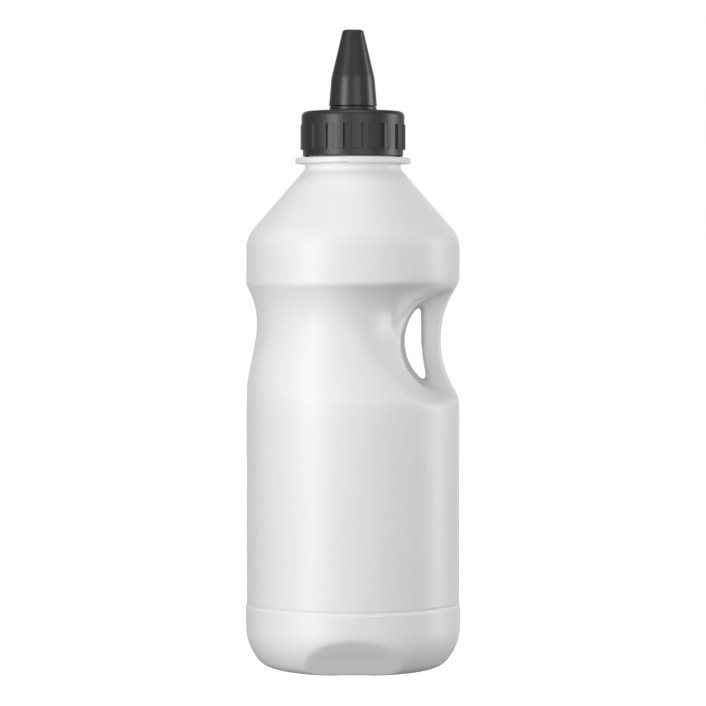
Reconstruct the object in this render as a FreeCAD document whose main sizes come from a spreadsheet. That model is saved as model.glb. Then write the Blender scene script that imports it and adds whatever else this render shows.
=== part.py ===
import FreeCAD, Part
import math
import os
import Sketcher

doc = FreeCAD.newDocument("squeeze_bottle")

# ---------------------------------------------------------------- sizes (mm, degrees)
SIZES = [
    # bottle, outside
    ("contact_inner", 29.2), ("heel_low", 36.04), ("heel_high", 10.2),
    ("base_radius", 42.9), ("base_top", 24.9), ("base_step", 0.35),
    ("body_radius", 42.6), ("shoulder_corner", 171.4), ("neck_radius", 19.0),
    ("shoulder_top", 198.6), ("ring_radius", 23.1), ("ring_low", 200.6), ("ring_high", 203.3),
    ("finish_radius", 17.6), ("finish_top", 219.0), ("bore_radius", 16.0), ("dome", 5.0),
    ("wall", 1.1), ("inner_corner", 171.0), ("inner_neck", 200.5), ("heel_round", 20.0), ("foot_round", 9.0),
    ("shoulder_round", 12.8), ("neck_round", 4.0), ("ring_round", 0.9),
    # waist and grip
    ("waist_low", 102.0), ("waist_high", 155.2), ("waist_ledge", 0.05), ("waist_left", 4.16),
    ("waist_right", 7.44), ("roll_reach", 6.0), ("roll_depth", 2.6),
    ("dish_depth", 5.0), ("grip_radius", 20.8), ("grip_centre", 41.0), ("grip_height", 130.1),
    ("mouth_radius", 23.3), ("mouth_centre", 36.6), ("mouth_height", 127.5), ("mouth_depth", 35.0),
    ("handle_inner", 27.2), ("handle_depth", 8.0), ("handle_lean", 2.4),
    ("handle_wall", 1.5), ("bend_round", 30.0), ("handle_round", 3.6),
    # the levels that part the bottle into its four stretches
    ("slab_radius", 60.0), ("slab_bottom", -1.0), ("grip_low", 100.0), ("grip_high", 157.0),
    ("slab_top", 220.0),
    # heel notch
    ("notch_height", 15.2), ("notch_front", 42.8), ("notch_slope", 51.0),
    # neck thread
    ("thread_pitch", 4.233), ("thread_low", 210.2), ("thread_turns", 1.5), ("thread_crest", 18.65),
    ("thread_base", 2.4), ("thread_tip", 1.0), ("thread_drop", 1.65),
    # screw cap
    ("cap_low", 203.6), ("band_radius", 20.05), ("band_high", 206.3), ("rib_radius", 21.0),
    ("rib_high", 216.2), ("cap_radius", 20.6), ("deck_top", 221.6), ("deck_low", 220.0),
    ("skirt_radius", 18.95), ("cap_crest", 17.95), ("cap_round", 2.2), ("rib_count", 18),
    ("rib_phase", -76.0), ("boss_radius", 9.4), ("boss_top", 223.5), ("boss_round", 0.8),
    ("spigot_root", 5.7), ("spigot_bore", 4.2), ("post_radius", 5.2), ("post_low", 229.4),
    ("post_top", 235.2), ("bridge_low", 233.2), ("pin_root", 1.8), ("pin_radius", 1.62),
    ("pin_taper", 246.0), ("pin_top", 253.6), ("port_radius", 1.15), ("port_ring", 2.95),
    # twist thread
    ("twist_lead", 6.0), ("twist_low", 224.7), ("twist_crest", 6.35), ("twist_base", 1.9),
    ("twist_tip", 0.9), ("twist_span", 215.0),
    # nozzle
    ("nozzle_low", 223.8), ("nozzle_radius", 9.6), ("nozzle_knee", 235.0), ("knee_radius", 8.65),
    ("tip_radius", 4.1), ("nozzle_top", 254.2), ("tip_round", 1.1), ("orifice_radius", 1.7),
    ("nozzle_bore", 6.65), ("bore_high", 229.7), ("collar_radius", 5.5), ("collar_high", 232.3),
    ("throat_radius", 2.7), ("throat_high", 251.0), ("nozzle_crest", 6.0), ("twist_inner_span", 130.0),
    # seal ring and liner
    ("seal_height", 231.0), ("seal_radius", 6.0), ("seal_tube", 0.75), ("groove_radius", 6.8),
    ("groove_half", 0.8), ("liner_radius", 18.3), ("liner_hole", 5.0), ("liner_gap", 0.02),
]

sheet = doc.addObject("Spreadsheet::Sheet", "sizes")


class Size:
    """A number that also remembers its spreadsheet expression."""

    def __init__(self, value, text):
        self.value = value
        self.text = text

    def join(self, other, sign, value):
        return Size(value, "(%s %s %s)" % (self.text, sign, other.text))

    def __add__(self, other):
        other = size(other)
        return self.join(other, "+", self.value + other.value)

    def __sub__(self, other):
        other = size(other)
        return self.join(other, "-", self.value - other.value)

    def __mul__(self, other):
        other = size(other)
        return self.join(other, "*", self.value * other.value)

    def __truediv__(self, other):
        other = size(other)
        return self.join(other, "/", self.value / other.value)


def size(item):
    if isinstance(item, Size):
        return item
    if isinstance(item, str):
        return Size(VALUES[item], "sizes." + item)
    return Size(float(item), repr(float(item)))


VALUES = dict(SIZES)
for row, (alias, value) in enumerate(SIZES, 1):
    sheet.set("A%d" % row, alias)
    sheet.set("B%d" % row, str(value))
    sheet.setAlias("B%d" % row, alias)
doc.recompute()


# ---------------------------------------------------------------- helpers
def bind(item, name, amount):
    item.setExpression(name, size(amount).text)


def new_body(label):
    body = doc.addObject("PartDesign::Body", label)
    body.Label = label
    return body


def origin_item(body, role):
    return next(item for item in body.Origin.OriginFeatures if item.Role == role)


def new_sketch(body, name, plane="XZ_Plane"):
    sketch = body.newObject("Sketcher::SketchObject", name)
    sketch.AttachmentSupport = [(origin_item(body, plane), "")]
    sketch.MapMode = "FlatFace"
    return sketch


def pin(sketch, line, axis, amount):
    amount = size(amount)
    if amount.value == 0:
        sketch.addConstraint(Sketcher.Constraint("PointOnObject", line, 1, -2 if axis == "X" else -1))
        return
    if amount.value < 0:
        rule = Sketcher.Constraint("Distance" + axis, line, 1, -1, 1, -amount.value)
        text = "-" + amount.text
    else:
        rule = Sketcher.Constraint("Distance" + axis, -1, 1, line, 1, amount.value)
        text = amount.text
    index = sketch.addConstraint(rule)
    name = "%s%d" % (axis.lower(), line)
    sketch.renameConstraint(index, name)
    sketch.setExpression("Constraints." + name, text)


def polygon(sketch, corners):
    """A closed outline with every corner held by sheet expressions."""
    points = [FreeCAD.Vector(size(a).value, size(b).value, 0) for a, b in corners]
    count = len(points)
    sketch.addGeometry([Part.LineSegment(points[i], points[(i + 1) % count]) for i in range(count)], False)
    for i in range(count):
        sketch.addConstraint(Sketcher.Constraint("Coincident", i, 2, (i + 1) % count, 1))
    for i, (across, up) in enumerate(corners):
        pin(sketch, i, "X", across)
        pin(sketch, i, "Y", up)


def feature(body, kind, name, **settings):
    item = body.newObject("PartDesign::" + kind, name)
    for key, value in settings.items():
        setattr(item, key, value)
    return item


def revolve(body, name, corners, kind="Revolution"):
    sketch = new_sketch(body, name + "_outline")
    polygon(sketch, corners)
    item = feature(body, kind, name, Profile=sketch, ReferenceAxis=(sketch, ["V_Axis"]), Angle=360)
    doc.recompute()
    return item


def ring_edges(shape, radius, height):
    """Names of the round edges at this radius and height."""
    radius, height = size(radius).value, size(height).value
    found = []
    for index, edge in enumerate(shape.Edges, 1):
        curve = edge.Curve
        if isinstance(curve, Part.Circle) and abs(curve.Radius - radius) < 0.01:
            if abs(curve.Center.z - height) < 0.01:
                found.append("Edge%d" % index)
    if not found:
        raise ValueError("no round edge at %.2f, %.2f" % (radius, height))
    return found


def round_rings(body, name, base, rings, radius):
    names = [edge for ring in rings for edge in ring_edges(base.Shape, *ring)]
    item = feature(body, "Fillet", name, Base=(base, names))
    bind(item, "Radius", radius)
    doc.recompute()
    return item


def helix_ridge(body, name, root, crest, low, lead, turns, base, tip, turn=0.0):
    """A thread ridge with sloping flanks wound about Z."""
    sketch = new_sketch(body, name + "_profile")
    sketch.AttachmentOffset = FreeCAD.Placement(
        FreeCAD.Vector(0, 0, 0), FreeCAD.Rotation(FreeCAD.Vector(0, 1, 0), turn))
    low, base, tip = size(low), size(base), size(tip)
    polygon(sketch, [
        (root, low - base / 2),
        (crest, low - tip / 2),
        (crest, low + tip / 2),
        (root, low + base / 2),
    ])
    item = feature(body, "AdditiveHelix", name, Profile=sketch, ReferenceAxis=(sketch, ["V_Axis"]), Mode=1)
    bind(item, "Pitch", lead)
    bind(item, "Turns", turns)
    doc.recompute()
    return item


def ring_pattern(body, name, original, count):
    item = feature(body, "PolarPattern", name, Originals=[original], Angle=360,
                   Axis=(origin_item(body, "Z_Axis"), [""]))
    bind(item, "Occurrences", count)
    body.Tip = item
    doc.recompute()
    return item


# ---------------------------------------------------------------- cap liner
def build_liner():
    body = new_body("cap_liner")
    low = size("finish_top") + "liner_gap"
    high = size("deck_low") - "liner_gap"
    revolve(body, "liner_disc", [
        ("liner_hole", low), ("liner_radius", low), ("liner_radius", high), ("liner_hole", high)])
    return body


# ---------------------------------------------------------------- seal ring
def build_seal():
    ring = doc.addObject("Part::Torus", "nozzle_seal")
    bind(ring, "Radius1", "seal_radius")
    bind(ring, "Radius2", "seal_tube")
    bind(ring, "Placement.Base.z", "seal_height")
    return ring


# ---------------------------------------------------------------- screw cap
def build_cap():
    body = new_body("screw_cap")
    shell = revolve(body, "cap_shell", [
        ("skirt_radius", "cap_low"), ("band_radius", "cap_low"), ("band_radius", "band_high"),
        ("rib_radius", "band_high"), ("rib_radius", "rib_high"), ("cap_radius", "rib_high"),
        ("cap_radius", "deck_top"), ("boss_radius", "deck_top"), ("boss_radius", "boss_top"),
        ("spigot_root", "boss_top"), ("spigot_root", "post_low"), ("post_radius", "post_low"),
        ("post_radius", "post_top"), ("pin_root", "post_top"), ("pin_radius", "pin_taper"),
        ("pin_radius", "pin_top"), (0, "pin_top"), (0, "bridge_low"), ("spigot_bore", "bridge_low"),
        ("spigot_bore", "deck_low"), ("skirt_radius", "deck_low"),
    ])
    rounded = round_rings(body, "cap_edge", shell, [("cap_radius", "deck_top")], "cap_round")
    rounded = round_rings(body, "boss_foot", rounded, [("boss_radius", "deck_top")], "boss_round")
    rounded = round_rings(body, "small_edges", rounded, [
        ("boss_radius", "boss_top"), ("pin_radius", "pin_top"), ("band_radius", "cap_low")], 0.3)
    groove_sketch = new_sketch(body, "groove_outline", "XY_Plane")
    groove_sketch.AttachmentOffset = FreeCAD.Placement(
        FreeCAD.Vector(0, 0, 0), FreeCAD.Rotation(FreeCAD.Vector(0, 0, 1), VALUES["rib_phase"]))
    bind(groove_sketch, "AttachmentOffset.Base.z", "rib_high")
    floor_half = size("band_radius") * math.tan(math.radians(3.6))
    mouth_half = size("rib_radius") * math.tan(math.radians(5.6))
    outside = size("rib_radius") + 0.4
    polygon(groove_sketch, [
        ("band_radius", floor_half * -1.0), (outside, mouth_half * -1.0),
        (outside, mouth_half), ("band_radius", floor_half)])
    groove = feature(body, "Pocket", "groove", Profile=groove_sketch)
    bind(groove, "Length", size("rib_high") - "band_high")
    doc.recompute()
    ring_pattern(body, "grooves", groove, "rib_count")
    port_sketch = new_sketch(body, "port_outline", "XY_Plane")
    bind(port_sketch, "AttachmentOffset.Base.z", size("post_top") + 1.0)
    port_sketch.addGeometry(Part.Circle(
        FreeCAD.Vector(VALUES["port_ring"], 0, 0), FreeCAD.Vector(0, 0, 1), VALUES["port_radius"]), False)
    port_sketch.addConstraint(Sketcher.Constraint("PointOnObject", 0, 3, -1))
    for name, rule in (("port_ring", Sketcher.Constraint("DistanceX", -1, 1, 0, 3, VALUES["port_ring"])),
                       ("port_radius", Sketcher.Constraint("Radius", 0, VALUES["port_radius"]))):
        index = port_sketch.addConstraint(rule)
        port_sketch.renameConstraint(index, name)
        port_sketch.setExpression("Constraints." + name, "sizes." + name)
    port = feature(body, "Pocket", "port", Profile=port_sketch)
    bind(port, "Length", size("post_top") - "bridge_low" + 2.0)
    doc.recompute()
    ring_pattern(body, "ports", port, 3)
    helix_ridge(body, "cap_thread", size("skirt_radius") + 0.2, "cap_crest",
                size("thread_low") - "thread_drop", "thread_pitch", "thread_turns", 2.2, 0.9)
    ridge = helix_ridge(body, "twist_thread", size("spigot_root") - 0.2, "twist_crest", "twist_low",
                        "twist_lead", size("twist_span") / 360.0, "twist_base", "twist_tip")
    ring_pattern(body, "twist_threads", ridge, 2)
    return body


# ---------------------------------------------------------------- twist nozzle
def build_nozzle():
    body = new_body("twist_nozzle")
    groove_low = size("seal_height") - "groove_half"
    groove_high = size("seal_height") + "groove_half"
    shell = revolve(body, "nozzle_shell", [
        ("nozzle_bore", "nozzle_low"), ("nozzle_radius", "nozzle_low"), ("knee_radius", "nozzle_knee"),
        ("tip_radius", "nozzle_top"), ("orifice_radius", "nozzle_top"),
        ("orifice_radius", "throat_high"), ("throat_radius", size("throat_high") - 0.8),
        ("collar_radius", size("collar_high") + 1.2), ("collar_radius", groove_high),
        ("groove_radius", groove_high), ("groove_radius", groove_low), ("collar_radius", groove_low),
        ("collar_radius", "bore_high"), ("nozzle_bore", "bore_high"),
    ])
    knee = round_rings(body, "knee_bend", shell, [("knee_radius", "nozzle_knee")], 12.0)
    round_rings(body, "tip_edge", knee, [("tip_radius", "nozzle_top")], "tip_round")
    ridge = helix_ridge(body, "inner_thread", size("nozzle_bore") + 0.2, "nozzle_crest",
                        size("twist_low") + size("twist_lead") / 4.0, "twist_lead",
                        size("twist_inner_span") / 360.0, "twist_base", "twist_tip")
    ring_pattern(body, "inner_threads", ridge, 2)
    return body


# ---------------------------------------------------------------- bottle
def soft_ramp(amount, softness):
    """The amount where it is positive and nothing below, with an eased corner."""
    if amount >= softness:
        return amount
    if amount <= -softness:
        return 0.0
    return (amount + softness) ** 2 / (4.0 * softness)


def ease(share):
    """From nothing to one with level ends."""
    share = min(1.0, max(0.0, share))
    return share * share * (3.0 - 2.0 * share)


def left_waist(height):
    """The shallow waist opposite the handle, one at its deepest."""
    if height > 137.4:
        return 1.0 - ((height - 137.4) / 15.0) ** 2
    return 1.0 - ease((137.4 - height) / 29.6)


def right_waist(height):
    """The deeper waist down the outside of the handle, one at its deepest."""
    if height > 130.0:
        return 1.0 - ((height - 130.0) / 23.2) ** 2.3
    return soft_ramp(1.0 - ((130.0 - height) / 22.6) ** 2, 0.12)


def finger_dish(across, height):
    """The hollow that leads the fingers from the front into the grip opening."""
    past_line = 0.908 * (across + 13.0) + 0.419 * (height - 147.0)
    if past_line <= 0:
        return 0.0
    depth = VALUES["dish_depth"] * min(past_line / 18.0, 1.6) ** 2
    return depth * max(0.0, right_waist(height)) * ease((36.0 - across) / 14.0)


def rim_roll(across, aside, height):
    """The rounding over the rim of the grip opening."""
    share = aside / VALUES["mouth_depth"]
    centre = VALUES["grip_centre"] + (VALUES["mouth_centre"] - VALUES["grip_centre"]) * share
    middle = VALUES["grip_height"] + (VALUES["mouth_height"] - VALUES["grip_height"]) * share
    radius = VALUES["grip_radius"] + (VALUES["mouth_radius"] - VALUES["grip_radius"]) * share
    outside = math.hypot(across - centre, height - middle) - radius
    reach = VALUES["roll_reach"]
    if outside >= reach:
        return 0.0
    depth = VALUES["roll_depth"] * (1.0 - max(outside, -2.0) / reach) ** 2
    return depth * ease((aside - 9.0) / 9.0)


def waist_depth(angle, height):
    """How far the waist lies inside the plain cylinder."""
    toward_handle = 0.5 * (1.0 + math.cos(angle))
    across = VALUES["body_radius"] * math.cos(angle)
    aside = abs(VALUES["body_radius"] * math.sin(angle))
    depth = VALUES["waist_left"] * left_waist(height) * (1.0 - toward_handle)
    depth += VALUES["waist_right"] * right_waist(height) * toward_handle
    depth += finger_dish(across, height)
    depth = soft_ramp(depth, 0.5)
    return depth + rim_roll(across, 0.92 * aside, height) + VALUES["waist_ledge"]


def waist_levels(spacing):
    """Heights of the level outlines, closer together where the waist starts and ends."""
    levels = []
    height = VALUES["waist_low"]
    while height < VALUES["waist_high"] - 0.01:
        levels.append(height)
        height += spacing if 107.0 < height < 147.0 else spacing * 0.5
    levels.append(VALUES["waist_high"])
    return levels


def waist_core(name, inset, steps, spacing):
    """The freeform body inside the waist, lofted through level outlines."""
    wires = []
    for height in waist_levels(spacing):
        points = []
        for step in range(steps):
            angle = math.pi + 2.0 * math.pi * step / steps
            radius = VALUES["body_radius"] - inset - waist_depth(angle, height)
            points.append(FreeCAD.Vector(radius * math.cos(angle), radius * math.sin(angle), height))
        curve = Part.BSplineCurve()
        curve.interpolate(Points=points, PeriodicFlag=True)
        wires.append(Part.Wire([curve.toShape()]))
    item = doc.addObject("Part::Feature", name)
    item.Shape = Part.makeLoft(wires, True, False)
    return item


def combine(kind, name, base, tool):
    item = doc.addObject("Part::" + kind, name)
    item.Base = base
    item.Tool = tool
    doc.recompute()
    return item


def grip_funnel(name, inset):
    """The drafted opening behind the handle: circles from front to back."""
    circles = []
    for index, share in enumerate((-1.4, -0.7, 0.0, 0.7, 1.4)):
        ring = doc.addObject("Part::Circle", "%s_ring_%d" % (name, index))
        open_share = abs(share)
        radius = size("grip_radius") + (size("mouth_radius") - "grip_radius") * open_share + inset
        across = size("grip_centre") + (size("mouth_centre") - "grip_centre") * open_share
        height = size("grip_height") + (size("mouth_height") - "grip_height") * open_share
        ring.Placement = FreeCAD.Placement(
            FreeCAD.Vector(0, 0, 0), FreeCAD.Rotation(FreeCAD.Vector(1, 0, 0), 90))
        bind(ring, "Radius", radius)
        bind(ring, "Placement.Base.x", across)
        bind(ring, "Placement.Base.y", size("mouth_depth") * share)
        bind(ring, "Placement.Base.z", height)
        circles.append(ring)
    loft = doc.addObject("Part::Loft", name)
    loft.Sections = circles
    loft.Solid = True
    loft.Ruled = False
    doc.recompute()
    return loft


def named_edges(shape, wanted):
    return ["Edge%d" % index for index, edge in enumerate(shape.Edges, 1) if wanted(edge)]


def handle_column(name, inset):
    """The upright between the opening and the outside."""
    body = new_body(name)
    sketch = new_sketch(body, name + "_outline")
    inner = size("handle_inner") + inset
    polygon(sketch, [
        (inner, "grip_height"), (inner, 170.0), (60.0, 170.0), (60.0, 90.0),
        (inner + "handle_lean" + 0.6, 90.0), (inner + "handle_lean", 113.0),
    ])
    pad = feature(body, "Pad", name + "_pad", Profile=sketch, SideType=2)
    bind(pad, "Length", (size("handle_depth") - inset) * 2.0)
    doc.recompute()
    bends = named_edges(pad.Shape, lambda edge: edge.BoundBox.YLength > 1.0 and edge.BoundBox.XMax < 40.0
                        and 100.0 < edge.BoundBox.ZMin < 150.0)
    bent = feature(body, "Fillet", name + "_bends", Base=(pad, bends))
    bind(bent, "Radius", "bend_round")
    doc.recompute()
    uprights = named_edges(bent.Shape, lambda edge: edge.BoundBox.YLength < 0.01 and edge.BoundBox.XMax < 40.0)
    rounding = feature(body, "Fillet", name + "_rounding", Base=(bent, uprights))
    bind(rounding, "Radius", size("handle_round") - inset)
    doc.recompute()
    return body


def heel_notch(name, inset):
    """The flat cut across the front of the heel."""
    body = new_body(name)
    sketch = new_sketch(body, name + "_outline", "YZ_Plane")
    in_y = inset * math.sin(math.radians(VALUES["notch_slope"]))
    in_z = inset * math.cos(math.radians(VALUES["notch_slope"]))
    rise = math.tan(math.radians(VALUES["notch_slope"]))
    top = size("notch_height") + 4.0 * rise + in_z
    foot = size(in_z - 3.0)
    top_y = size("notch_front") * -1.0 - 4.0 + in_y
    foot_y = size("notch_front") * -1.0 + in_y + (size("notch_height") + 3.0) / rise
    polygon(sketch, [(foot_y, foot), (top_y, top), (-70.0, top), (-70.0, foot)])
    pad = feature(body, "Pad", name + "_pad", Profile=sketch, SideType=2, Length=90.0)
    doc.recompute()
    return body


def grip_and_waist(name, turned, inset, column_inset, steps, spacing):
    """Cuts the waist, the grip opening and the heel notch from a turned body."""
    ring = doc.addObject("Part::Cylinder", name + "_ring")
    bind(ring, "Radius", 60.0)
    bind(ring, "Height", size("waist_high") - "waist_low")
    bind(ring, "Placement.Base.z", "waist_low")
    core = waist_core(name + "_waist_core", inset, steps, spacing)
    sleeve = combine("Cut", name + "_waist_sleeve", ring, core)
    waisted = combine("Cut", name + "_waisted", turned, sleeve)
    funnel = grip_funnel(name + "_funnel", inset)
    column = handle_column(name + "_column", column_inset)
    opening = combine("Cut", name + "_opening", funnel, column)
    gripped = combine("Cut", name + "_gripped", waisted, opening)
    return combine("Cut", name + "_notched", gripped, heel_notch(name + "_notch", inset))


def outer_turning():
    """The outside of the bottle without its waist: base, body, shoulder, neck and thread."""
    body = new_body("outer_turning")
    step_top = size("base_top") + "base_step"
    turned = revolve(body, "outer_outline", [
        (0, "dome"), (12.0, size("dome") - 0.5), (22.0, size("dome") - 2.0), ("contact_inner", 0),
        ("heel_low", 0), ("base_radius", "heel_high"), ("base_radius", "base_top"),
        ("body_radius", step_top), ("body_radius", "shoulder_corner"), ("neck_radius", "shoulder_top"),
        ("neck_radius", "ring_low"), ("ring_radius", "ring_low"), ("ring_radius", size("ring_high") - 0.3),
        ("finish_radius", "ring_high"), ("finish_radius", "finish_top"), (0, "finish_top"),
    ])
    rounded = round_rings(body, "heel_bend", turned, [("base_radius", "heel_high")], "heel_round")
    rounded = round_rings(body, "foot_bend", rounded, [("heel_low", 0)], "foot_round")
    rounded = round_rings(body, "shoulder_bend", rounded, [("body_radius", "shoulder_corner")],
                          "shoulder_round")
    rounded = round_rings(body, "neck_bend", rounded, [("neck_radius", "shoulder_top")], "neck_round")
    round_rings(body, "ring_edges", rounded, [
        ("ring_radius", "ring_low"), ("ring_radius", size("ring_high") - 0.3)], "ring_round")
    helix_ridge(body, "neck_thread", size("finish_radius") - 0.2, "thread_crest", "thread_low",
                "thread_pitch", "thread_turns", "thread_base", "thread_tip")
    return body


def inner_turning():
    """The space inside the bottle, open at the mouth."""
    body = new_body("inner_turning")
    inner_radius = size("body_radius") - "wall"
    inner_foot = size("heel_low") - size("wall") * 0.35
    inner_heel = size("heel_high") + size("wall") * 0.3
    turned = revolve(body, "inner_outline", [
        (0, size("dome") + "wall"), (12.0, size("dome") + "wall" - 0.5), (22.0, size("dome") + "wall" - 2.0),
        (size("contact_inner") + 0.3, "wall"), (inner_foot, "wall"), (inner_radius, inner_heel),
        (inner_radius, "inner_corner"), ("bore_radius", "inner_neck"),
        ("bore_radius", size("finish_top") + 6.0), (0, size("finish_top") + 6.0),
    ])
    rounded = round_rings(body, "inner_heel_bend", turned, [(inner_radius, inner_heel)],
                          size("heel_round") - "wall")
    rounded = round_rings(body, "inner_foot_bend", rounded, [(inner_foot, "wall")],
                          size("foot_round") - "wall")
    rounded = round_rings(body, "inner_shoulder_bend", rounded, [(inner_radius, "inner_corner")],
                          size("shoulder_round") - "wall")
    round_rings(body, "inner_neck_bend", rounded, [("bore_radius", "inner_neck")], "neck_round")
    return body


def build_whole_bottle():
    outside = grip_and_waist("outer", outer_turning(), 0.0, 0.0, 72, 1.9)
    hollow = grip_and_waist("inner", inner_turning(), VALUES["wall"], VALUES["handle_wall"], 48, 2.6)
    return combine("Cut", "whole_bottle", outside, hollow)


def bottle_band(label, whole, low, high):
    """One level stretch of the bottle, between two heights, as its own solid."""
    slab = doc.addObject("Part::Cylinder", label + "_slab")
    bind(slab, "Radius", size("slab_radius"))
    bind(slab, "Height", size(high) - low)
    bind(slab, "Placement.Base.z", size(low))
    return combine("Common", label, whole, slab)


whole = build_whole_bottle()
lower = bottle_band("bottle_lower", whole, "slab_bottom", "grip_low")
grip = bottle_band("bottle_grip", whole, "grip_low", "grip_high")
shoulder = bottle_band("bottle_shoulder", whole, "grip_high", "ring_low")
neck = bottle_band("bottle_neck", whole, "ring_low", "slab_top")
liner = build_liner()
seal = build_seal()
cap = build_cap()
nozzle = build_nozzle()
doc.recompute()

PIECES = [lower, grip, shoulder, neck, liner, seal, cap, nozzle]


def check_and_write():
    for item in doc.Objects:
        if "Invalid" in item.State or "Error" in item.State:
            raise RuntimeError("%s: %s" % (item.Label, item.State))
    os.makedirs("parts", exist_ok=True)
    for item in PIECES:
        shape = item.Shape
        if shape.isNull() or not shape.isValid() or len(shape.Solids) != 1:
            raise RuntimeError("%s: bad shape, %d solids" % (item.Label, len(shape.Solids)))
        shape.exportStep("parts/%s.step" % item.Label)
        print(item.Label, "volume %.1f" % shape.Volume, shape.BoundBox)


check_and_write()
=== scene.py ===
import math

import bmesh
import bpy
from mathutils import Matrix, Vector
from mathutils.bvhtree import BVHTree


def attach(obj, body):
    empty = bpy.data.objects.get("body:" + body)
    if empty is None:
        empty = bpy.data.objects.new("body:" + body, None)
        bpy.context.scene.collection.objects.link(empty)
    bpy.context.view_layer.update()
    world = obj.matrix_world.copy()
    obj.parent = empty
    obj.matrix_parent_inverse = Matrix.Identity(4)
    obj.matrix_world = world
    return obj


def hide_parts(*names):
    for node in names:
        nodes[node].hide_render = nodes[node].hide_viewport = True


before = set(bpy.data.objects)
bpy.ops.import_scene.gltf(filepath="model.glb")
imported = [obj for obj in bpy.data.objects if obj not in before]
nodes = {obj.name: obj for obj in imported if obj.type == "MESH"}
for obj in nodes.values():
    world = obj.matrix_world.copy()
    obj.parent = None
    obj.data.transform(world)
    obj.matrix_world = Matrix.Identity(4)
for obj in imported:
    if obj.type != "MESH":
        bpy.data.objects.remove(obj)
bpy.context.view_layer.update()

MM = 0.001
FULL_TURN = 2.0 * math.pi

# Sizes of the bottle in millimetres.
BODY = 42.6
BASE = 42.9
NECK = 19.0
BORE = 16.0
RING_LOW = 200.6
RING_LAP = 0.3
DRUM_LOW = 98.0
DRUM_HIGH = 159.0
DRUM_ROW = 0.8
DRUM_COLUMNS = 360
TRIM_LOW = 101.0
TRIM_HIGH = 156.0
CLEAR_OF_DRUM_END = 2.0
VOXEL = 0.66
SOFTENING_ROUNDS = 60

# How deep the waist is opposite the handle and down the handle.
WAIST_LEFT = 4.16
WAIST_RIGHT = 7.44
WAIST_FADE = 8.0

# The handle and the flat of the heel notch.
HANDLE_INNER = 27.2
HANDLE_OUTER = 60.0
HANDLE_DEPTH = 16.0
HANDLE_LEAN = 2.4
HANDLE_ROUND = 3.6
NOTCH_SLOPE = 51.0
NOTCH_ANCHOR = Vector((0.0, -42.8, 15.2))


# ---------------------------------------------------------------- meshes
def mesh_object(name, build):
    """Makes an object from a bmesh kept in metres."""
    mesh = bpy.data.meshes.new(name)
    build.to_mesh(mesh)
    build.free()
    item = bpy.data.objects.new(name, mesh)
    bpy.context.scene.collection.objects.link(item)
    return item


def shade_smooth(item):
    for polygon in item.data.polygons:
        polygon.use_smooth = True


def settled(item):
    """Bakes the object's modifiers into a fresh mesh."""
    bpy.context.view_layer.update()
    depsgraph = bpy.context.evaluated_depsgraph_get()
    mesh = bpy.data.meshes.new_from_object(item.evaluated_get(depsgraph))
    item.modifiers.clear()
    item.data = mesh
    return item


def removed(item):
    bpy.data.objects.remove(item)


def rounded(corners, steps=6):
    """An outline in millimetres whose corners (across, up, radius) are rounded."""
    points = []
    for index, (across, up, radius) in enumerate(corners):
        here = Vector((across, up))
        if radius == 0 or index in (0, len(corners) - 1):
            points.append(here)
            continue
        back = (Vector(corners[index - 1][:2]) - here).normalized()
        on = (Vector(corners[index + 1][:2]) - here).normalized()
        half = 0.5 * back.angle(on)
        reach = radius / math.tan(half)
        centre = here + (back + on).normalized() * (radius / math.sin(half))
        start = here + back * reach - centre
        turn = start.angle_signed(here + on * reach - centre)
        for step in range(steps + 1):
            points.append(centre + Matrix.Rotation(-turn * step / steps, 2) @ start)
    return points


def turned(name, outline, steps):
    """A lathe-turned solid from an outline of (across, up) points in millimetres."""
    build = bmesh.new()
    verts = [build.verts.new((point[0] * MM, 0.0, point[1] * MM)) for point in outline]
    edges = [build.edges.new(pair) for pair in zip(verts, verts[1:])]
    bmesh.ops.spin(build, geom=verts + edges, cent=(0, 0, 0), axis=(0, 0, 1), dvec=(0, 0, 0),
                   angle=FULL_TURN, steps=steps, use_merge=True, use_duplicate=False)
    bmesh.ops.remove_doubles(build, verts=build.verts, dist=1e-6)
    bmesh.ops.recalc_face_normals(build, faces=build.faces)
    return mesh_object(name, build)


# ---------------------------------------------------------------- the bottle's waist and grip
def soft_ramp(amount, softness):
    """The amount where it is positive and nothing below, with an eased corner."""
    if amount >= softness:
        return amount
    if amount <= -softness:
        return 0.0
    return (amount + softness) ** 2 / (4.0 * softness)


def ease(share):
    """A share from nothing to one, started and ended gently."""
    share = min(1.0, max(0.0, share))
    return share * share * (3.0 - 2.0 * share)


def left_waist(height):
    """The shallow waist opposite the handle, one at its deepest."""
    if height > 137.4:
        return 1.0 - ((height - 137.4) / 15.0) ** 2
    return 1.0 - ease((137.4 - height) / 29.6)


def right_waist(height):
    """The deeper waist down the outside of the handle, one at its deepest."""
    if height > 130.0:
        return 1.0 - ((height - 130.0) / 23.2) ** 2.3
    return soft_ramp(1.0 - ((130.0 - height) / 22.6) ** 2, 0.12)


def dish_top(height):
    """One below the grip's middle, falling ever faster to nothing under the band."""
    if height <= 128.0:
        return max(0.0, right_waist(height))
    return max(0.0, 1.0 - ((height - 128.0) / 24.8) ** 3)


def finger_dish(across, height):
    """The hollow that leads the fingers in, with a steady slope once it has begun."""
    past_line = 0.78 * (across + 13.0) + 0.62 * (height - 147.0)
    if past_line <= 0:
        return 0.0
    depth = 2.5 * (min(past_line, 9.0) / 9.0) ** 2 + 0.53 * max(0.0, past_line - 9.0)
    return depth * dish_top(height) * ease((36.0 - across) / 14.0)


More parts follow.
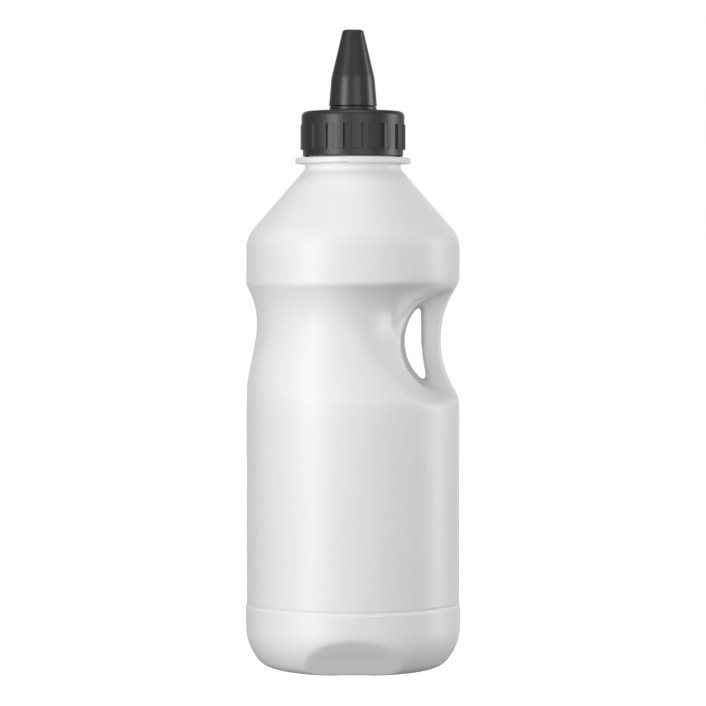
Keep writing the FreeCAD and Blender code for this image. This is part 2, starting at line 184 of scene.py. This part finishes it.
def waist_depth(angle, height):
    """How far the waist lies inside the plain cylinder, in millimetres."""
    toward_handle = 0.5 * (1.0 + math.cos(angle))
    depth = WAIST_LEFT * left_waist(height) * (1.0 - toward_handle)
    depth += WAIST_RIGHT * right_waist(height) * toward_handle
    depth += finger_dish(BODY * math.cos(angle), height)
    return soft_ramp(depth, 0.5) * ease((height - TRIM_LOW - 0.5) / WAIST_FADE)


def mouth_circle(aside):
    """Centre across, centre height and radius of the grip opening at this depth from the middle."""
    share = abs(aside) / 35.0
    return 41.0 - 4.4 * share, 129.9 - 2.6 * share, 20.1 + 2.7 * share


def outside_mouth(point):
    """Distance from the grip opening's wall, positive on the bottle's side, for a point in millimetres."""
    across, height, radius = mouth_circle(point.y)
    return math.hypot(point.x - across, point.z - height) - radius


def waist_drum():
    """The stretch of body with the waist and dish, before the grip opening is cut."""
    rows = [Vector((0, DRUM_LOW))]
    height = DRUM_LOW
    while height <= DRUM_HIGH:
        rows.append(Vector((BODY, height)))
        height += DRUM_ROW
    rows.append(Vector((0, rows[-1].y)))
    drum = turned("drum", rows, DRUM_COLUMNS)
    for vert in drum.data.vertices:
        height = vert.co.z / MM
        radius = math.hypot(vert.co.x, vert.co.y)
        level = DRUM_LOW + CLEAR_OF_DRUM_END < height < DRUM_HIGH - CLEAR_OF_DRUM_END
        if level and radius > 0.5 * BODY * MM:
            angle = math.atan2(vert.co.y, vert.co.x)
            share = 1.0 - waist_depth(angle, height) / BODY
            vert.co.x *= share
            vert.co.y *= share
    return drum


def grip_funnel():
    """The drafted opening behind the handle, as rings bridged from front to back."""
    build = bmesh.new()
    rings = []
    for row in range(-8, 9):
        aside = row * 7.5
        across, height, radius = mouth_circle(aside)
        place = Matrix.Translation((across * MM, aside * MM, height * MM))
        place @= Matrix.Rotation(math.pi / 2, 4, "X")
        ring = bmesh.ops.create_circle(build, cap_ends=row in (-8, 8), segments=128,
                                       radius=radius * MM, matrix=place)
        edges = {edge for vert in ring["verts"] for edge in vert.link_edges}
        rings.append(list(edges))
    for near, far in zip(rings, rings[1:]):
        bmesh.ops.bridge_loops(build, edges=near + far)
    bmesh.ops.recalc_face_normals(build, faces=build.faces)
    return mesh_object("funnel", build)


def handle_column():
    """The upright left standing between the opening and the outside."""
    build = bmesh.new()
    middle = 0.5 * (HANDLE_INNER + HANDLE_OUTER)
    width = HANDLE_OUTER - HANDLE_INNER
    place = Matrix.Translation((middle * MM, 0.0, 132.0 * MM))
    place @= Matrix.Diagonal((width * MM, HANDLE_DEPTH * MM, 80.0 * MM, 1.0))
    bmesh.ops.create_cube(build, size=1.0, matrix=place)
    inner = [vert for vert in build.verts if vert.co.x < 0.04]
    for vert in inner:
        vert.co.x = HANDLE_INNER * MM
    tall = [edge for edge in build.edges if abs(edge.verts[0].co.z - edge.verts[1].co.z) > 10.0 * MM]
    bmesh.ops.subdivide_edges(build, edges=tall, cuts=40, use_grid_fill=True)
    for vert in build.verts:
        if vert.co.x < 0.04:
            height = vert.co.z / MM
            vert.co.x += HANDLE_LEAN * MM * ease((131.0 - height) / 22.0)
    uprights = [edge for edge in build.edges if abs(edge.verts[0].co.y - edge.verts[1].co.y) < 1e-6
                and abs(edge.verts[0].co.x - edge.verts[1].co.x) < 0.001
                and max(edge.verts[0].co.x, edge.verts[1].co.x) < 0.04]
    bmesh.ops.bevel(build, geom=uprights, offset=HANDLE_ROUND * MM, offset_type="OFFSET", segments=8,
                    profile=0.5, affect="EDGES", material=-1)
    bmesh.ops.recalc_face_normals(build, faces=build.faces)
    return mesh_object("column", build)


def cut_with(base, tool):
    modifier = base.modifiers.new("cut", "BOOLEAN")
    modifier.operation = "DIFFERENCE"
    modifier.solver = "EXACT"
    modifier.object = tool
    return settled(base)


def pocket_share(point):
    """One on the grip opening's walls and rim, nothing on the plain waist."""
    if abs(point.y) < 12.0 and point.x > 0:
        handle = 1.0
    else:
        handle = 0.0
    return max(handle, 1.0 - ease((outside_mouth(point) - 3.0) / 13.0))


def smooth_waist():
    """The waist with its grip opening, every edge of the opening softened."""
    drum = waist_drum()
    plain = BVHTree.FromObject(drum, bpy.context.evaluated_depsgraph_get())
    funnel = grip_funnel()
    column = handle_column()
    cut_with(funnel, column)
    cut_with(drum, funnel)
    removed(column)
    removed(funnel)
    remesh = drum.modifiers.new("voxels", "REMESH")
    remesh.mode = "VOXEL"
    remesh.voxel_size = VOXEL * MM
    settled(drum)
    group = drum.vertex_groups.new(name="pocket")
    for vert in drum.data.vertices:
        group.add([vert.index], pocket_share(vert.co / MM), "REPLACE")
    soften = drum.modifiers.new("soften", "SMOOTH")
    soften.factor = 0.5
    soften.iterations = SOFTENING_ROUNDS
    soften.vertex_group = "pocket"
    settled(drum)
    for vert in drum.data.vertices:
        share = pocket_share(vert.co / MM)
        if share < 1.0:
            nearest = plain.find_nearest(vert.co)[0]
            vert.co = nearest.lerp(vert.co, share)
    drum.vertex_groups.clear()
    return drum


# ---------------------------------------------------------------- the whole bottle
def lower_outline():
    """From the waist's bottom trim down to the middle of the base."""
    corners = [(BODY, TRIM_LOW, 0), (BODY, 26.4, 0.4), (BODY - 0.25, 25.6, 0.3), (BASE, 24.4, 0.8),
               (BASE, 10.2, 20.0), (36.04, 0.0, 9.0), (29.2, 0.0, 0.5), (22.0, 3.0, 8.0),
               (12.0, 4.5, 10.0), (0.6, 5.0, 0)]
    return rounded(corners, 8)


def upper_outline():
    """From the waist's top trim up the shoulder to a small lap inside the neck ring."""
    corners = [(BODY, TRIM_HIGH, 0), (BODY, 171.4, 12.8), (NECK, 198.6, 4.0),
               (NECK, RING_LOW + RING_LAP, 0)]
    return rounded(corners, 9)


def inner_outline():
    """The hollow from the mouth down, as (across, up, centre across)."""
    return [(BORE, RING_LOW + RING_LAP, 0), (BORE, 199.5, 0), (29.0, 184.0, 0), (41.2, 170.0, 0),
            (41.3, 155.0, 0), (30.0, 149.0, -6.0), (26.5, 143.0, -8.0), (26.5, 116.0, -8.0),
            (38.0, 106.0, -3.0), (41.3, 100.0, 0), (41.3, 24.0, 0), (38.0, 8.0, 0), (28.0, 4.5, 0),
            (0.6, 6.3, 0)]


def extrude_row(build, loop, across, up, centre=0.0):
    """One more row of a loop of edges, every corner keeping its bearing."""
    made = bmesh.ops.extrude_edge_only(build, edges=loop)["geom"]
    centres = build.verts.layers.float["centre"]
    for vert in made:
        if isinstance(vert, bmesh.types.BMVert):
            bearing = Vector((vert.co.x - vert[centres] * MM, vert.co.y))
            bearing.normalize()
            vert.co = (bearing.x * across * MM + centre * MM, bearing.y * across * MM, up * MM)
            vert[centres] = centre
    return [edge for edge in made if isinstance(edge, bmesh.types.BMEdge)]


def rim_loop(build, height):
    """The open edges that lie at this height."""
    return [edge for edge in build.edges if edge.is_boundary
            and all(abs(vert.co.z - height * MM) < 1e-5 for vert in edge.verts)]


def press_notch(build):
    """The sloping flat at the front of the heel."""
    slope = math.radians(NOTCH_SLOPE)
    normal = Vector((0.0, -math.sin(slope), -math.cos(slope)))
    for vert in build.verts:
        point = vert.co / MM
        if point.z < 24.0 and point.y < -20.0:
            over = (point - NOTCH_ANCHOR).dot(normal)
            vert.co -= normal * soft_ramp(over, 0.5) * MM


def bottle_shell():
    """The blow-moulded bottle up to its neck ring, hollow and open at the mouth."""
    drum = smooth_waist()
    build = bmesh.new()
    build.from_mesh(drum.data)
    removed(drum)
    build.verts.layers.float.new("centre")
    for height, side in ((TRIM_LOW, -1), (TRIM_HIGH, 1)):
        everything = build.verts[:] + build.edges[:] + build.faces[:]
        bmesh.ops.bisect_plane(build, geom=everything, dist=1e-7, plane_co=(0, 0, height * MM),
                               plane_no=(0, 0, side), clear_outer=True)
        loop = rim_loop(build, height)
        for vert in {vert for edge in loop for vert in edge.verts}:
            radius = math.hypot(vert.co.x, vert.co.y)
            vert.co.x *= BODY * MM / radius
            vert.co.y *= BODY * MM / radius
            vert.co.z = height * MM
    loop = rim_loop(build, TRIM_LOW)
    for point in lower_outline()[1:]:
        loop = extrude_row(build, loop, point.x, point.y)
    bmesh.ops.contextual_create(build, geom=loop)
    loop = rim_loop(build, TRIM_HIGH)
    for point in upper_outline()[1:]:
        loop = extrude_row(build, loop, point.x, point.y)
    for across, up, centre in inner_outline():
        loop = extrude_row(build, loop, across, up, centre)
    bmesh.ops.contextual_create(build, geom=loop)
    press_notch(build)
    bmesh.ops.recalc_face_normals(build, faces=build.faces)
    shell = mesh_object("bottle_shell", build)
    shade_smooth(shell)
    return shell


# ---------------------------------------------------------------- shader maths
class Value:
    """A shader socket that can be used in Python arithmetic."""

    def __init__(self, tree, socket):
        self.tree = tree
        self.socket = socket

    def maths(self, operation, *inputs):
        node = self.tree.nodes.new("ShaderNodeMath")
        node.operation = operation
        for slot, item in zip(node.inputs, inputs):
            if isinstance(item, Value):
                self.tree.links.new(item.socket, slot)
            else:
                slot.default_value = item
        return Value(self.tree, node.outputs[0])

    def __add__(self, other):
        return self.maths("ADD", self, other)

    def __rsub__(self, other):
        return self.maths("SUBTRACT", other, self)

    def __mul__(self, other):
        return self.maths("MULTIPLY", self, other)

    def __truediv__(self, other):
        return self.maths("DIVIDE", self, other)

    def __abs__(self):
        return self.maths("ABSOLUTE", self)

    def near_zero(self, width):
        """One at nothing, falling to zero at the width."""
        share = 1.0 - abs(self) / width
        return share.maths("MAXIMUM", share, 0.0)

    __radd__ = __add__


class Graph:
    """A node tree under construction, and the one shader that its values feed."""

    def __init__(self, owner, shader):
        owner.use_nodes = True
        self.tree = owner.node_tree
        self.shader = self.tree.nodes[shader]

    def node(self, kind, settings=None, output=0, **inputs):
        node = self.tree.nodes.new("ShaderNode" + kind)
        for key, item in (settings or {}).items():
            setattr(node, key, item)
        for key, item in inputs.items():
            socket = node.inputs[int(key[1:])] if key[0] == "i" and key[1:].isdigit() else node.inputs[key]
            if isinstance(item, Value):
                self.tree.links.new(item.socket, socket)
            else:
                socket.default_value = item
        return Value(self.tree, node.outputs[output])

    def constant(self, **values):
        for key, item in values.items():
            self.shader.inputs[key.replace("_", " ")].default_value = item

    def feed(self, name, item):
        self.tree.links.new(item.socket, self.shader.inputs[name])


class Finish(Graph):
    """A material under construction."""

    def __init__(self, name):
        self.material = bpy.data.materials.new(name)
        super().__init__(self.material, "Principled BSDF")

    def place(self):
        return self.node("TexCoord", output=3)

    def noise(self, scale, detail):
        return self.node("TexNoise", Vector=self.place(), Scale=scale, Detail=detail)

    def mix(self, factor, low, high):
        return self.node("Mix", {"data_type": "RGBA"}, output=2, Factor=factor, i6=low, i7=high)

    def bump(self, height, strength, distance):
        self.feed("Normal", self.node("Bump", Strength=strength, Distance=distance, Height=height))


def moulded_white():
    """Satin, slightly translucent blow-moulded plastic."""
    finish = Finish("bottle_white")
    finish.constant(Subsurface_Weight=0.15, Subsurface_Scale=0.003, Subsurface_Radius=(1.0, 1.0, 1.0),
                    Specular_IOR_Level=0.35, IOR=1.5)
    cloud = finish.noise(22.0, 2.0)
    grain = finish.noise(2600.0, 2.0)
    finish.feed("Base Color", finish.mix(cloud, (0.88, 0.88, 0.882, 1.0), (0.92, 0.92, 0.92, 1.0)))
    finish.feed("Roughness", 0.36 + cloud * 0.08)
    aside = finish.node("SeparateXYZ", output=1, Vector=finish.place())
    parting = aside.near_zero(0.00035)
    finish.bump(grain * 0.2 + parting, 0.4, 0.00012)
    return finish.material


def moulded_black(name, rough):
    """Satin injection-moulded black plastic."""
    finish = Finish(name)
    finish.constant(Specular_IOR_Level=0.5, IOR=1.5)
    cloud = finish.noise(60.0, 3.0)
    grain = finish.noise(4200.0, 3.0)
    finish.feed("Base Color", finish.mix(cloud, (0.03, 0.031, 0.031, 1.0), (0.04, 0.041, 0.041, 1.0)))
    finish.feed("Roughness", rough + cloud * 0.1)
    finish.bump(grain, 0.25, 0.00006)
    return finish.material


def foam_white():
    """Closed-cell foam."""
    finish = Finish("liner_foam")
    cells = finish.noise(1500.0, 2.0)
    finish.feed("Base Color", finish.mix(cells, (0.7, 0.7, 0.67, 1.0), (0.85, 0.85, 0.82, 1.0)))
    finish.feed("Roughness", 0.7 + cells * 0.2)
    finish.bump(cells, 0.5, 0.0001)
    return finish.material


def seal_black():
    """Moulded rubber."""
    finish = Finish("seal_rubber")
    cells = finish.noise(900.0, 2.0)
    finish.feed("Base Color", finish.mix(cells, (0.02, 0.02, 0.02, 1.0), (0.035, 0.035, 0.035, 1.0)))
    finish.feed("Roughness", 0.55 + cells * 0.2)
    finish.bump(cells, 0.3, 0.00005)
    return finish.material


def paint(item, material):
    """Gives the piece its one material, in the slot it has already if it has one."""
    if item.data.materials:
        item.data.materials[0] = material
    else:
        item.data.materials.append(material)


# ---------------------------------------------------------------- studio
def studio_floor():
    """A pale floor that the camera sees and that neither lights nor shades the object."""
    build = bmesh.new()
    bmesh.ops.create_grid(build, x_segments=1, y_segments=1, size=6.0)
    floor = mesh_object("studio_floor", build)
    finish = Finish("floor_white")
    finish.constant(Base_Color=(0.85, 0.85, 0.85, 1.0), Roughness=0.9, Specular_IOR_Level=0.0,
                    Emission_Color=(1.0, 1.0, 1.0, 1.0), Emission_Strength=1.05)
    paint(floor, finish.material)
    floor.visible_diffuse = False
    floor.visible_glossy = False
    floor.visible_transmission = False
    floor.visible_shadow = False


def around(azimuth, distance, height):
    """A place at this bearing from the front, turning towards +X."""
    bearing = math.radians(azimuth)
    return (distance * math.sin(bearing), -distance * math.cos(bearing), height)


# How strongly the paper's own white reaches the object.
AMBIENT = 0.1

# Each soft box: name, place, width, height (metres) and power (watts).
SOFT_BOXES = [
    ("key", around(-44, 1.3, 0.2), 0.5, 1.0, 12.0),
    ("fill", around(20, 1.5, 0.3), 0.9, 1.0, 6.0),
    ("side", around(100, 1.3, 0.2), 0.4, 1.0, 9.0),
    ("top", (0.0, -0.25, 1.5), 0.9, 0.9, 6.0),
    ("back", around(180, 1.2, 0.3), 1.6, 1.2, 4.0),
]


def soft_box(name, place, width, height, power):
    """A soft light aimed at the middle of the object."""
    light = bpy.data.lights.new(name, "AREA")
    light.shape = "RECTANGLE"
    light.size = width
    light.size_y = height
    light.energy = power
    item = bpy.data.objects.new(name, light)
    bpy.context.scene.collection.objects.link(item)
    direction = Vector((0.0, 0.0, 0.13)) - Vector(place)
    facing = direction.to_track_quat("-Z", "Y").to_matrix().to_4x4()
    item.matrix_world = Matrix.Translation(place) @ facing
    item.visible_camera = False


def studio():
    """White paper behind the object, a little light from all round and the soft boxes."""
    world = bpy.data.worlds.new("studio")
    paper = Graph(world, "Background")
    paper.constant(Color=(1.0, 1.0, 1.0, 1.0))
    seen_directly = paper.node("LightPath")
    paper.feed("Strength", AMBIENT + seen_directly * (1.0 - AMBIENT))
    bpy.context.scene.world = world
    bpy.context.scene.view_settings.view_transform = "Standard"
    for box in SOFT_BOXES:
        soft_box(*box)


def camera():
    """Level with the band over the waist, the frame shifted down to hold the whole bottle."""
    lens = bpy.data.cameras.new("view")
    lens.sensor_width = 36.0
    lens.lens = 158.1
    lens.shift_y = -0.1402
    lens.clip_end = 50.0
    item = bpy.data.objects.new("view", lens)
    item.location = (0.0, -1.24, 0.1646)
    item.rotation_euler = (math.pi / 2, 0.0, 0.0)
    bpy.context.scene.collection.objects.link(item)
    bpy.context.scene.camera = item


# ---------------------------------------------------------------- build
camera()
studio_floor()

white = moulded_white()
black = moulded_black("cap_black", 0.36)
black_smooth = moulded_black("nozzle_black", 0.3)
paint(nodes["screw_cap"], black)
paint(nodes["twist_nozzle"], black_smooth)
paint(nodes["cap_liner"], foam_white())
paint(nodes["nozzle_seal"], seal_black())

shell = bottle_shell()
paint(shell, white)
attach(shell, "bottle")
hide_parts("bottle_lower", "bottle_grip", "bottle_shoulder")

paint(nodes["bottle_neck"], white)
studio()
